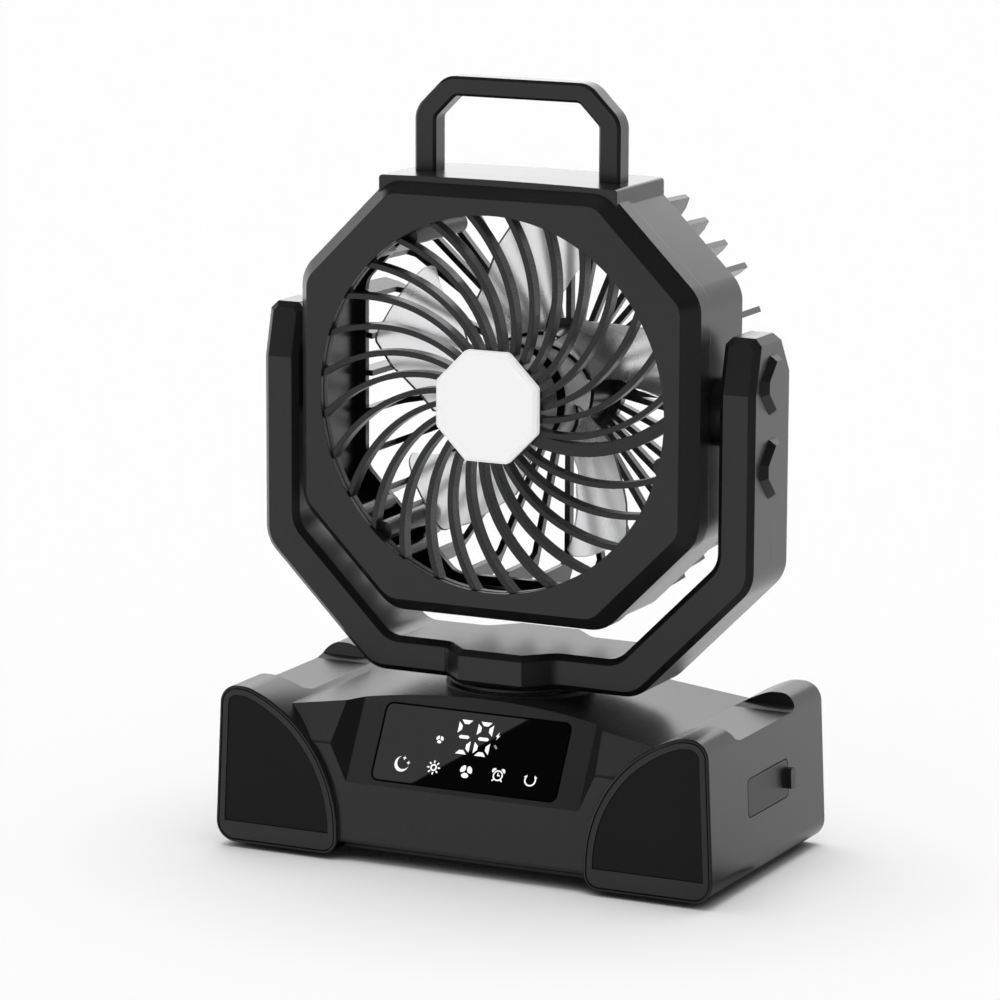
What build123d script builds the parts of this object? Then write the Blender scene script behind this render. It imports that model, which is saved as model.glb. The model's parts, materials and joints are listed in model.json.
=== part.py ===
import os
from math import acos, atan, cos, degrees, pi, radians, sin, sqrt, tan

from build123d import *

# Camping fan: an octagonal fan head tilts in a yoke that swivels on a wide battery base.
# Millimetres. The front faces -Y, +Z is up, the origin is on the floor under the swivel axis.

# Base outline
BASE_WIDTH = 240.8
BASE_DEPTH = 124.6
HUMP_TOP = 73.6
HUMP_LENGTH = 26.9
VALLEY_DROP = 6.6
RAMP_RUN = 7.6
FOOT_GAP = 2.5
END_LENGTH = 60.6
END_DRAFT = 3.2
END_TOP_LENGTH = 16.0
END_BULGE = (46.2, 20.3)
END_TOE = 11.5
MAIN_SETBACK = 2.6
MAIN_INSET = 30.4
MAIN_BOTTOM = 7.0
CROWN_RISE = 0.9
SHOULDER_INSET = 64.4
SHOULDER_DROP = 4.4
CROWN_END_DROP = 9.2
CREASE_DROP = 21.6
FACET_RUN = 16.3
FACET_RISE = 24.0
WALL = 3.0
ROOF = 3.4

# Base end trims and pads
TRIM_LIP = 1.1
TRIM_GAP = 0.5
TRIM_THICK = 2.5
PAD_RIM = 4.2
PAD_FOOT = 12.0
PAD_GAP = 0.15

# Base bottom plate and its fixings, set in from the base outline
PLATE_INSET = (9.4, 12.3)
PLATE_BOTTOM = 3.5
BOSS_INSET = (48.4, 18.3)
BOSS_RADIUS = 4.0
FOOT_INSET = (24.4, 22.3)
FOOT_RADIUS = 8.0

# Display on a sloped face; slope points are back from the front and down from the hump top
SLOPE_FOOT = (2.5, 38.12)
SLOPE_HEAD = (21.0, 3.6)
RECESS_INSET = 64.2
DISPLAY_MARGIN = 11.35
DISPLAY_HEIGHT = 35.6
DISPLAY_LOW = 2.67
DISPLAY_THICK = 2.0

# Port flap on the right end
FLAP_LENGTH = 43.4
FLAP_HEIGHT = 16.6
FLAP_THICK = 2.4
FLAP_GAP = 0.45
FLAP_DROP = 33.9
TAB_PROUD = 3.3
PORT_INSET = 21.4

# Battery
CELL_RADIUS = 9.2
CELL_LENGTH = 65.0
CELL_PITCH = 20.0
CELL_INSET = 16.4

# Swivel
PLINTH_RADIUS = 33.3
PLINTH_RISE = 0.7
DISC_INSET = 1.5
WASHER_THICK = 0.5
SPINDLE_RADIUS = 10.0
SPINDLE_BORE = 6.0
BUSH_RADIUS = 13.0
RUN_FIT = 0.05
GEAR_TEETH = 40
PINION_TEETH = 16
GEAR_MODULE = 1.0
GEAR_BACKLASH = 0.3
GEAR_WIDTH = 6.0
GEAR_DROP = 16.7

# Yoke
YOKE_LIFT = 2.3
YOKE_HALF = 20.4
YOKE_BAR = 15.9
YOKE_EDGE = 2.6
YOKE_WALL = 3.0
ARM_WIDTH = 16.7
ARM_RISE = 34.9
ARM_TOP = (-14.3, 9.6)
ARM_CORNER = 3.2
ARM_TAPER = (23.7, 16.7)
DIAGONAL_IN = 46.4
DIAGONAL_OUT = 53.5
NOSE_REACH = 32.0
NOSE_TIP = 15.3
NOSE_ROOT = 26.8
PLUG_ACROSS = 25.8
PLUG_FLAT = 7.2
PLUG_TAPER = 40.0
PLUG_PROUD = 3.0
PLUG_Y = 0.2
PLUG_RISE = (13.8, -22.5)

# Head, drawn about its own tilt axis
HEAD_HALF = 95.6
HEAD_FLAT = 51.7
HEAD_GAP = 5.8
HEAD_CLEAR = 13.8
BEZEL_FRONT = -33.2
BEZEL_EDGE = (6.3, 8.2)
BEZEL_BACK = -15.2
BEZEL_WALL = 3.0
OPENING_RIM = 13.2
SHELL_STEP = 1.2
SHELL_BACK = 21.2
SHELL_WALL = 3.0
CROWN_PAD_RISE = 1.4
CROWN_PAD_EDGE = 0.6
CROWN_PAD_FRONT = -26.8
VANE_COUNT = 28
VANE_START = -38.0
VANE_TURN = 0.54
VANE_THICK = 2.5
VANE_FRONT = -31.9
VANE_BACK = -25.9
DUCT_WIDTH = 5.6
DUCT_START = -33.5
POST_RADIUS = 4.4
POST_ANGLES = (121.0, 228.0, 345.0)
LAMP_ACROSS = 48.3
LAMP_FRONT = -37.5
LAMP_THICK = 4.2
RIB_THICK = 2.6
RIB_BACK = 49.8
RIB_ANGLES = (-22.5, -11.25, 0.0, 11.25, 22.5, 33.75, 41.25, 48.75, 56.25)
FLANGE_FRONT = 18.0
MOTOR_PLATE = 27.5
CABLE_DUCT = 10.6
MOTOR_RADIUS = 24.0
MOTOR_FRONT = 20.0
SHAFT_RADIUS = 2.0
BLADE_COUNT = 5
BLADE_GAP = 5.7
BLADE_PHASE = 99.0
BLADE_Y = 5.0
ROTOR_HUB = 24.0
ROTOR_FRONT = -7.0
ROTOR_BACK = 18.5
SCREW_DEPTH = 7.95
SCREW_SPREAD = 12.3
HANDLE_HALF = 49.2
HANDLE_RISE = 42.8
HANDLE_LEG = 10.2
HANDLE_BAR = 8.6
HANDLE_DEPTH = 10.5
HANDLE_Y = -3.0
HANDLE_CORNER = 15.0
HANDLE_EDGE = 1.2
HANDLE_ROUND = 11.0
TILT_PIN = 5.0

os.makedirs("parts", exist_ok=True)
LEFT_RIGHT = (-1, 1)


def save(node, shape):
    export_step(shape, f"parts/{node}.step")


def prism(sketch, y_near, y_far, taper=0.0):
    """Extrude a sketch drawn in X and Z from the far depth to the near one."""
    plane = Plane(origin=(0, y_far, 0), x_dir=(1, 0, 0), z_dir=(0, -1, 0))
    return extrude(plane * sketch, amount=y_far - y_near, taper=taper)


def side_prism(sketch, x_low, x_high):
    """Extrude a sketch drawn in Y and Z between two widths."""
    plane = Plane(origin=(x_low, 0, 0), x_dir=(0, 1, 0), z_dir=(1, 0, 0))
    return extrude(plane * sketch, amount=x_high - x_low)


def plan_prism(sketch, z_low, z_high):
    """Extrude a sketch drawn in X and Y between two heights."""
    return extrude(Pos(0, 0, z_low) * sketch, amount=z_high - z_low)


def block(x0, x1, y0, y1, z0, z1):
    return Pos((x0 + x1) / 2, (y0 + y1) / 2, (z0 + z1) / 2) * Box(x1 - x0, y1 - y0, z1 - z0)


def rod_y(radius, y0, y1, x=0.0, z=0.0):
    return Pos(x, (y0 + y1) / 2, z) * Rot(90, 0, 0) * Cylinder(radius, y1 - y0)


def rod_x(radius, x0, x1, y=0.0, z=0.0):
    return Pos((x0 + x1) / 2, y, z) * Rot(0, 90, 0) * Cylinder(radius, x1 - x0)


def rod_z(radius, z0, z1, x=0.0, y=0.0):
    return Pos(x, y, (z0 + z1) / 2) * Cylinder(radius, z1 - z0)


def ring_z(outer, inner, z0, z1):
    return rod_z(outer, z0, z1) - rod_z(inner, z0 - 1, z1 + 1)


def polygon(*points):
    return make_face(Polyline(*points, close=True))


def mirrored(*points):
    """Outline that is the same left and right, from its right half listed from the bottom up."""
    return polygon(*points, *[(-across, up) for across, up in reversed(points)])


def octagon(half, corner, radius):
    """Octagon with sides at half and diagonals where |x| + |z| = corner."""
    flat = corner - half
    face = mirrored((flat, -half), (half, -flat), (half, flat), (flat, half))
    return fillet(face.vertices(), radius)


def nearest(shape, x, y):
    return shape.vertices().sort_by_distance((x, y, 0))[0]


def outline(shape, way):
    """Edges round the faces that look to the front (way -1) or to the back (way 1)."""
    looking = [face for face in shape.faces() if way * face.normal_at().Y > 0.5]
    edges = [edge for face in looking for edge in face.edges()]
    return [edge for edge in edges if sum(edge.is_same(other) for other in edges) == 1]


def mirror_x(shape):
    return mirror(shape, about=Plane.YZ)


def mirror_y(shape):
    return mirror(shape, about=Plane.XZ)


def screw_up(x, y, z_head, z_tip, head=2.9, shank=1.4):
    return rod_z(head, z_head, z_head + 2, x, y) + rod_z(shank, z_head + 1, z_tip, x, y)


def polar(radius, angle):
    return (radius * cos(radians(angle)), radius * sin(radians(angle)))


# Heights and lines that several pieces share
half_width = BASE_WIDTH / 2
half_depth = BASE_DEPTH / 2
crown = HUMP_TOP + CROWN_RISE
crease = HUMP_TOP - CREASE_DROP
valley_top = HUMP_TOP - VALLEY_DROP
main_front = half_depth - MAIN_SETBACK
main_end = half_width - MAIN_INSET
shoulder = half_width - SHOULDER_INSET
plinth_top = crown + PLINTH_RISE
washer_top = plinth_top + WASHER_THICK
gear_low = plinth_top - GEAR_DROP
gear_high = gear_low + GEAR_WIDTH
pinion_y = GEAR_MODULE * (GEAR_TEETH + PINION_TEETH) / 2
yoke_bottom = plinth_top + YOKE_LIFT
yoke_floor = yoke_bottom + YOKE_BAR
head_z = yoke_floor + HEAD_HALF + HEAD_CLEAR
yoke_top = head_z + ARM_RISE
arm_inner = HEAD_HALF + HEAD_GAP
arm_outer = arm_inner + ARM_WIDTH
HEAD = Pos(0, 0, head_z)

# Base end blocks
end_top_x = half_width - END_DRAFT
end_flat_x = half_width - END_TOP_LENGTH
end_inner = half_width - END_LENGTH
toe_z = FOOT_GAP + END_TOE
bulge = (-half_width + END_BULGE[0], HUMP_TOP - END_BULGE[1])
end_face = make_face([
    Line((-half_width, FOOT_GAP), (-end_top_x, HUMP_TOP)),
    Line((-end_top_x, HUMP_TOP), (-end_flat_x, HUMP_TOP)),
    ThreePointArc((-end_flat_x, HUMP_TOP), bulge, (-end_inner, toe_z)),
    Line((-end_inner, toe_z), (-end_inner, FOOT_GAP)),
    Line((-end_inner, FOOT_GAP), (-half_width, FOOT_GAP)),
])
end_face = fillet(nearest(end_face, -end_flat_x, HUMP_TOP), 14.0)
end_face = fillet(nearest(end_face, -end_top_x, HUMP_TOP), 8.5)
end_face = fillet(nearest(end_face, -half_width, FOOT_GAP), 9.0)
end_face = fillet(nearest(end_face, -end_inner, FOOT_GAP), 7.0)
end_block = prism(end_face, -half_depth, half_depth)
for end_of_block in (0, -1):
    rim = end_block.faces().sort_by(Axis.Y)[end_of_block].outer_wire().edges()
    end_block = fillet(rim, 0.8)
ramp_end = half_depth - HUMP_LENGTH
valley = mirrored((ramp_end - RAMP_RUN, valley_top), (ramp_end - 3.0, valley_top + 1.4),
                  (ramp_end, HUMP_TOP), (ramp_end + 3.0, HUMP_TOP + 16.0))
end_block -= side_prism(valley, -half_width - 10, -end_inner + 2)
trim_back = half_depth - TRIM_THICK
pocket = prism(offset(end_face, amount=-TRIM_LIP), -half_depth - 2, -trim_back)
end_block -= pocket
end_block -= mirror_y(pocket)


def under_roof(drop, end_x, floor):
    """Area under the crowned top of the base, with the top lowered by a drop."""
    edge = crown - CROWN_END_DROP - drop
    knee = crown - SHOULDER_DROP - drop
    return make_face([
        Line((-end_x, floor), (-end_x, edge)),
        Line((-end_x, edge), (-shoulder, knee)),
        ThreePointArc((-shoulder, knee), (0, crown - drop), (shoulder, knee)),
        Line((shoulder, knee), (end_x, edge)),
        Line((end_x, edge), (end_x, floor)),
        Line((end_x, floor), (-end_x, floor)),
    ])


# Base middle
middle_side = mirrored((main_front, MAIN_BOTTOM), (main_front, crease),
                       (main_front - FACET_RUN, crease + FACET_RISE))
for way in LEFT_RIGHT:
    middle_side = fillet(nearest(middle_side, way * main_front, MAIN_BOTTOM), 3.5)
    middle_side = fillet(nearest(middle_side, way * main_front, crease), 4.0)
middle = prism(under_roof(0, main_end, MAIN_BOTTOM), -half_depth, half_depth)
middle &= side_prism(middle_side, -half_width, half_width)
slope_foot = (SLOPE_FOOT[0] - half_depth, HUMP_TOP - SLOPE_FOOT[1])
slope_head = (SLOPE_HEAD[0] - half_depth, HUMP_TOP - SLOPE_HEAD[1])
slope_normal = (0, slope_foot[1] - slope_head[1], slope_head[0] - slope_foot[0])
slope_plane = Plane(origin=(0, slope_foot[0], slope_foot[1]), x_dir=(1, 0, 0), z_dir=slope_normal)
recess_half = half_width - RECESS_INSET
recess = extrude(slope_plane * Pos(0, 40) * Rectangle(2 * recess_half, 80), amount=14, taper=-45)
plinth = rod_z(PLINTH_RADIUS, crown - 8.5, plinth_top)

# Hollow inside of the base
inner_front = main_front - WALL
plate_half = (half_width - PLATE_INSET[0], half_depth - PLATE_INSET[1])
ledge = plate_half[1] - 4.0
inner_side = mirrored((ledge, -5), (ledge, MAIN_BOTTOM + WALL), (inner_front, MAIN_BOTTOM + WALL),
                      (inner_front, crease - 1.4), (inner_front - FACET_RUN + 1.4, crease + 20.0))
hollow = prism(under_roof(ROOF, main_end - WALL, -5), -half_depth, half_depth)
hollow &= side_prism(inner_side, -half_width, half_width)
slope_backing = Pos(0, 20, -5.2) * Rectangle(2 * recess_half + 37.6, 130)
hollow -= extrude(slope_plane * slope_backing, amount=60)
end_hollow = prism(offset(end_face, amount=-WALL), -trim_back + WALL, trim_back - WALL)
end_hollow &= block(-half_width, -end_inner + 10, -half_depth, half_depth, 0, valley_top - WALL)
plate_face = fillet(Rectangle(2 * plate_half[0], 2 * plate_half[1]).vertices(), 5.0)
housing = middle + end_block + mirror_x(end_block) + plinth
housing -= recess
housing -= hollow
housing -= end_hollow
housing -= mirror_x(end_hollow)
housing -= plan_prism(offset(plate_face, amount=0.3), -1, MAIN_BOTTOM)

# Bosses and seats inside the base
boss_x = half_width - BOSS_INSET[0]
boss_y = half_depth - BOSS_INSET[1]
screw_spots = [(sx * boss_x, sy * boss_y) for sx in LEFT_RIGHT for sy in LEFT_RIGHT]
motor_top = gear_low - 3.5
bosses = [rod_z(BOSS_RADIUS, MAIN_BOTTOM, crease + 13.5, x, y) for x, y in screw_spots]
motor_posts = [rod_z(3.0, motor_top, crown - ROOF + 1.0, way * 17.5, pinion_y) for way in LEFT_RIGHT]
bearing_boss = rod_z(BUSH_RADIUS + 3.5, gear_high + 1.0, crown - 1.0)
flap_z = HUMP_TOP - FLAP_DROP
end_rise = HUMP_TOP - FOOT_GAP
end_plane = Plane(origin=(half_width - END_DRAFT * (flap_z - FOOT_GAP) / end_rise, 0, flap_z),
                  x_dir=(0, 1, 0), z_dir=(end_rise, 0, END_DRAFT))
port_backing = Pos(0, 0, -7.0) * Rectangle(FLAP_LENGTH + 10.6, FLAP_HEIGHT + 8.9)
housing = housing.fuse(*bosses, *motor_posts, bearing_boss, extrude(end_plane * port_backing, amount=6.0))
for spot_x, spot_y in screw_spots:
    housing -= rod_z(1.4, 0, MAIN_BOTTOM + 10.0, spot_x, spot_y)
housing -= rod_z(BUSH_RADIUS, gear_low - 5, plinth_top + 5)

# Display window and port openings
display_width = 2 * (recess_half - DISPLAY_MARGIN)
display_middle = DISPLAY_LOW + DISPLAY_HEIGHT / 2
display_sheet = Pos(0, display_middle) * Rectangle(display_width, DISPLAY_HEIGHT)
display_sheet = fillet(display_sheet.vertices(), 3.5)
display_seat = Pos(0, 0, -DISPLAY_THICK) * offset(display_sheet, amount=0.2)
display_window = Pos(0, display_middle, -9.0) * Rectangle(display_width - 9.0, DISPLAY_HEIGHT - 8.6)
housing -= extrude(slope_plane * display_seat, amount=10)
housing -= extrude(slope_plane * display_window, amount=10)
flap_sheet = fillet(Rectangle(FLAP_LENGTH, FLAP_HEIGHT).vertices(), 2.6)
flap_pocket = Pos(0, 0, -FLAP_THICK - 0.2) * offset(flap_sheet, amount=FLAP_GAP)
housing -= extrude(end_plane * flap_pocket, amount=8)
port_x = half_width - PORT_INSET
housing -= block(port_x + 5, port_x + 17, -14.6, -5.4, flap_z - 1.8, flap_z + 1.8)
housing -= block(port_x + 5, port_x + 17, 1.2, 14.8, flap_z - 3.0, flap_z + 3.0)
save("base_housing", housing)

# Base bottom, feet and screws
foot_x = half_width - FOOT_INSET[0]
foot_y = half_depth - FOOT_INSET[1]
foot_spots = [(sx * foot_x, sy * foot_y) for sx in LEFT_RIGHT for sy in LEFT_RIGHT]
plate = plan_prism(plate_face, PLATE_BOTTOM, MAIN_BOTTOM)
for spot_x, spot_y in foot_spots:
    plate -= rod_z(FOOT_RADIUS + 0.2, 0, PLATE_BOTTOM + 1.0, spot_x, spot_y)
for spot_x, spot_y in screw_spots:
    plate -= rod_z(3.2, 0, MAIN_BOTTOM - 1.0, spot_x, spot_y)
    plate -= rod_z(1.5, 0, MAIN_BOTTOM + 1.0, spot_x, spot_y)
save("base_bottom", plate)
save("rubber_feet", Compound([rod_z(FOOT_RADIUS, 0, PLATE_BOTTOM + 1.0, x, y) for x, y in foot_spots]))
bottom_screws = [screw_up(x, y, MAIN_BOTTOM - 3.0, MAIN_BOTTOM + 9.5) for x, y in screw_spots]
save("bottom_screws", Compound(bottom_screws))

# End trims and their matt pads
trim_face = offset(end_face, amount=-TRIM_LIP - TRIM_GAP)
pad_limit = Pos(0, PAD_FOOT + HUMP_TOP) * Rectangle(2 * BASE_WIDTH, 2 * HUMP_TOP)
pad_seat = offset(end_face, amount=-PAD_RIM) & pad_limit
pad_back = half_depth - 1.6
trim = prism(trim_face, -half_depth + 0.1, -trim_back)
trim -= prism(pad_seat, -half_depth - 2, -pad_back)
pad = prism(offset(pad_seat, amount=-PAD_GAP), -half_depth + 0.4, -pad_back)
for name, shape in (("trim", trim), ("pad", pad)):
    save(f"front_{name}_left", shape)
    save(f"front_{name}_right", mirror_x(shape))
    save(f"rear_{name}_left", mirror_y(shape))
    save(f"rear_{name}_right", mirror_x(mirror_y(shape)))

# Display
display_panel = extrude(slope_plane * Pos(0, 0, -DISPLAY_THICK) * display_sheet, amount=DISPLAY_THICK)
save("display_panel", display_panel)
board_seat = slope_plane * Pos(0, display_middle)
display_board = board_seat * Pos(0, 0, -6.2) * Box(display_width + 3.0, DISPLAY_HEIGHT - 4.6, 1.6)
display_board += board_seat * Pos(0, 6.0, -3.9) * Box(30, 12, 3.2)
key_pitch = (display_width - 27.4) / 4
for key in range(5):
    display_board += board_seat * Pos(key_pitch * (key - 2), -8.5, -3.75) * Cylinder(3.2, 3.5)
save("display_board", display_board)

# Battery
cell_start = CELL_INSET - half_width
cell_end = cell_start + CELL_LENGTH
cell_spots = [(CELL_PITCH * (row - 1), MAIN_BOTTOM + 2.0 + CELL_RADIUS + CELL_PITCH * layer)
              for row in range(3) for layer in range(2)]
save("battery_cells", Compound([rod_x(CELL_RADIUS, cell_start, cell_end, y, z) for y, z in cell_spots]))
cradle_half = CELL_PITCH + CELL_RADIUS + 1.8
cradle_top = MAIN_BOTTOM + 2.0 + CELL_RADIUS * 2 + CELL_PITCH + 1.6
holder = block(cell_start + 4, cell_end - 4, -CELL_PITCH, CELL_PITCH, MAIN_BOTTOM, MAIN_BOTTOM + 1.5)
holder += block(cell_start + 4, cell_start + 10, -cradle_half, cradle_half, MAIN_BOTTOM, cradle_top)
holder += block(cell_end - 10, cell_end - 4, -cradle_half, cradle_half, MAIN_BOTTOM, cradle_top)
for cell_y, cell_z in cell_spots:
    holder -= rod_x(CELL_RADIUS + 0.1, cell_start - 10, cell_end + 10, cell_y, cell_z)
save("battery_holder", holder)

# Circuit boards and sockets
board_half = boss_y - BOSS_RADIUS - 2.0
board_low = MAIN_BOTTOM + 6.0
board_high = board_low + 1.6
main_board = block(port_x - 63, port_x - 1, -board_half, board_half, board_low, board_high)
for post_x in (port_x - 57, port_x - 7):
    for way in LEFT_RIGHT:
        main_board += rod_z(2.5, MAIN_BOTTOM, board_low, post_x, way * (board_half - 4.0))
main_board += block(port_x - 55, port_x - 41, -20, -6, board_high, board_high + 7.4)
main_board += block(port_x - 35, port_x - 23, 8, 20, board_high, board_high + 3.4)
main_board += rod_z(5.0, board_high, board_high + 12.4, port_x - 47, 6)
main_board += rod_z(5.0, board_high, board_high + 12.4, port_x - 47, 18)
save("main_board", main_board)
port_board = block(port_x - 1.6, port_x, -24, 24, board_high, flap_z + 11.0)
port_board += block(port_x - 5, port_x - 1.6, -20, 20, board_high, board_high + 2.4)
save("port_board", port_board)
usb_c = block(port_x, port_x + 14, -14.5, -5.5, flap_z - 1.7, flap_z + 1.7)
usb_c -= block(port_x + 5, port_x + 21, -14.1, -5.9, flap_z - 1.3, flap_z + 1.3)
usb_c += block(port_x + 2, port_x + 12.5, -13.0, -7.0, flap_z - 0.35, flap_z + 0.35)
save("usb_c_socket", usb_c)
usb_a = block(port_x, port_x + 14, 1.4, 14.6, flap_z - 2.9, flap_z + 2.9)
usb_a -= block(port_x + 3, port_x + 21, 1.8, 14.2, flap_z - 2.5, flap_z + 2.5)
usb_a += block(port_x + 1, port_x + 13, 2.6, 13.4, flap_z + 0.3, flap_z + 2.0)
save("usb_a_socket", usb_a)

# Port flap with its pull tab, which laps over the wall behind it
flap = extrude(end_plane * Pos(0, 0, -FLAP_THICK) * flap_sheet, amount=FLAP_THICK)
tab_face = fillet(Rectangle(5.0, 9.0).vertices(), 1.2)
tab_root = Pos(FLAP_LENGTH / 2 - 2.5, 0, -0.6) * Rectangle(4.0, 8.0)
flap += extrude(end_plane * tab_root, amount=1.2)
flap += extrude(end_plane * Pos(FLAP_LENGTH / 2 - 1.5, 0, 0.25) * tab_face, amount=TAB_PROUD - 0.25)
save("port_flap", flap)


def gear(teeth, z0, z1, phase):
    """Spur gear with involute flanks, a tooth centred at the phase angle."""
    pitch = GEAR_MODULE * teeth / 2
    base = pitch * cos(radians(20))
    root = pitch - 1.2 * GEAR_MODULE
    tip = pitch + 0.9 * GEAR_MODULE
    start = max(base, root)

    def involute(radius):
        angle = acos(min(1.0, base / radius))
        return tan(angle) - angle

    half = pi / 2 / teeth - GEAR_BACKLASH / 4 / pitch
    flank = []
    for step in range(6):
        radius = start + (tip - start) * step / 5
        flank.append((radius, degrees(half + involute(pitch) - involute(radius))))
    tooth_side = [(root, flank[0][1])] + flank if root < start else flank
    points = []
    for tooth in range(teeth):
        middle_angle = phase + 360.0 * tooth / teeth
        points += [polar(radius, middle_angle - spread) for radius, spread in tooth_side]
        points += [polar(radius, middle_angle + spread) for radius, spread in reversed(tooth_side)]
    return plan_prism(polygon(*points), z0, z1)


# Swivel drive
turntable_gear = gear(GEAR_TEETH, gear_low, gear_high, 90.0)
save("turntable_gear", turntable_gear - rod_z(SPINDLE_RADIUS, gear_low - 5, gear_high + 5))
pinion = gear(PINION_TEETH, gear_low, gear_high, -90.0 + 180.0 / PINION_TEETH)
pinion += rod_z(2.5, motor_top - 10.0, gear_high)
save("drive_pinion", Pos(0, pinion_y, 0) * pinion)
motor = rod_z(14.0, motor_top - 19.0, motor_top - 1.0)
motor += block(-21, 21, -3.5, 3.5, motor_top - 1.0, motor_top)
motor += rod_z(4.5, motor_top - 1.0, motor_top + 1.0)
motor += block(-7.5, 7.5, -17.5, -10, motor_top - 15.0, motor_top - 1.0)
motor -= rod_z(2.5 + RUN_FIT, motor_top - 11.0, motor_top + 5.0)
save("oscillation_motor", Pos(0, pinion_y, 0) * motor)
save("spindle_bush", ring_z(BUSH_RADIUS, SPINDLE_RADIUS + RUN_FIT, gear_high + 1.0, plinth_top))
disc_radius = PLINTH_RADIUS - DISC_INSET
save("thrust_washer", ring_z(disc_radius - 2.8, 20.0, plinth_top, washer_top))
turntable = rod_z(disc_radius, washer_top + RUN_FIT, yoke_bottom)
turntable = chamfer(turntable.edges().sort_by(Axis.Z)[0], 0.5)
turntable += rod_z(SPINDLE_RADIUS, gear_low - 4.0, yoke_bottom)
turntable -= rod_z(SPINDLE_BORE, gear_low - 10, yoke_bottom + 10)
save("turntable", turntable)
save("spindle_ring", ring_z(SPINDLE_RADIUS + 5.0, SPINDLE_RADIUS, gear_low - 3.0, gear_low))

# Yoke outside: a U seen from the front, a nose in the middle, arms that taper at the top
yoke_face = mirrored(
    (arm_outer - DIAGONAL_OUT, yoke_bottom), (arm_outer, yoke_bottom + DIAGONAL_OUT),
    (arm_outer, yoke_top - ARM_CORNER), (arm_outer - ARM_CORNER, yoke_top),
    (arm_inner + ARM_CORNER, yoke_top), (arm_inner, yoke_top - ARM_CORNER),
    (arm_inner, yoke_floor + DIAGONAL_IN), (arm_inner - DIAGONAL_IN, yoke_floor))
for way in LEFT_RIGHT:
    yoke_face = fillet(nearest(yoke_face, way * arm_outer, yoke_bottom + DIAGONAL_OUT), 16.0)
    yoke_face = fillet(nearest(yoke_face, way * (arm_outer - DIAGONAL_OUT), yoke_bottom), 16.0)
    yoke_face = fillet(nearest(yoke_face, way * arm_inner, yoke_floor + DIAGONAL_IN), 12.0)
    yoke_face = fillet(nearest(yoke_face, way * (arm_inner - DIAGONAL_IN), yoke_floor), 12.0)
arm_side = polygon(
    (-YOKE_HALF, yoke_bottom - 20), (-YOKE_HALF, yoke_top - ARM_TAPER[0]), (ARM_TOP[0], yoke_top),
    (ARM_TOP[1], yoke_top), (YOKE_HALF, yoke_top - ARM_TAPER[1]), (YOKE_HALF, yoke_bottom - 20))
nose_face = mirrored(
    (NOSE_TIP, -NOSE_REACH), (NOSE_ROOT, -YOKE_HALF), (NOSE_ROOT, YOKE_HALF), (NOSE_TIP, NOSE_REACH))
yoke_solid = prism(yoke_face, -YOKE_HALF, YOKE_HALF) & side_prism(arm_side, -arm_outer - 10, arm_outer + 10)
yoke_solid += plan_prism(nose_face, yoke_bottom, yoke_floor)
nose_roots = [edge for edge in yoke_solid.edges().filter_by(Axis.Z)
              if abs(abs(edge.center().X) - NOSE_ROOT) < 0.1 and abs(abs(edge.center().Y) - YOKE_HALF) < 0.1]
yoke_solid = fillet(nose_roots, 6.0)
yoke_solid = chamfer(outline(yoke_solid, -1), YOKE_EDGE)
yoke_solid = chamfer(outline(yoke_solid, 1), YOKE_EDGE)

# Yoke inside: hollow arms, screw bosses, pivot seats, cable way and plug holes
inside = YOKE_HALF - YOKE_WALL
yoke_hollow = prism(offset(yoke_face, amount=-YOKE_WALL), -inside, inside)
yoke_hollow &= side_prism(offset(arm_side, amount=-YOKE_WALL), -arm_outer, arm_outer)
yoke_hollow -= block(-24, 24, -40, 40, yoke_bottom - 10, yoke_floor + 10)
arm_middle = (arm_inner + arm_outer) / 2
screw_places = [(way * x, z) for way in LEFT_RIGHT
                for x, z in ((arm_middle, yoke_floor + 58.6), (arm_middle, head_z + 21.2),
                             (arm_inner - 33.4, yoke_floor + 0.6))]
yoke = yoke_solid - yoke_hollow
yoke = yoke.fuse(*[rod_y(5.0, -inside - 1.0, inside + 1.0, x, z) & yoke_solid for x, z in screw_places])
yoke -= rod_z(SPINDLE_BORE, yoke_bottom - 5, yoke_bottom + 10.5)
yoke -= block(-40, 40, -5, 5, yoke_bottom + 4.5, yoke_bottom + 10.5)
pivot_seat = rod_x(11.0, arm_inner, arm_inner + 4.5, 0, head_z)
pivot_hole = rod_x(8.0, arm_inner - 6.0, arm_inner + 4.6, 0, head_z)
for seat, hole in ((pivot_seat, pivot_hole), (mirror_x(pivot_seat), mirror_x(pivot_hole))):
    yoke += seat
    yoke -= hole
for rise in PLUG_RISE:
    plug_hole = rod_x(5.0, arm_outer - 6.0, arm_outer + 2.0, PLUG_Y, head_z + rise)
    yoke -= plug_hole
    yoke -= mirror_x(plug_hole)
screw_seat = inside - 3.5
for place_x, place_z in screw_places:
    yoke -= rod_y(3.2, screw_seat, YOKE_HALF + 5, place_x, place_z)
    yoke -= rod_y(1.4, -inside + 3.5, YOKE_HALF + 5, place_x, place_z)
save("yoke_front", yoke & block(-arm_outer - 5, arm_outer + 5, -NOSE_REACH - 5, 0, 0, yoke_top + 5))
save("yoke_rear", yoke & block(-arm_outer - 5, arm_outer + 5, 0, NOSE_REACH + 5, 0, yoke_top + 5))
yoke_screws = [
    rod_y(2.9, screw_seat, screw_seat + 2.0, x, z) + rod_y(1.4, -inside + 4.5, screw_seat + 1.0, x, z)
    for x, z in screw_places]
save("yoke_screws", Compound(yoke_screws))

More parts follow.
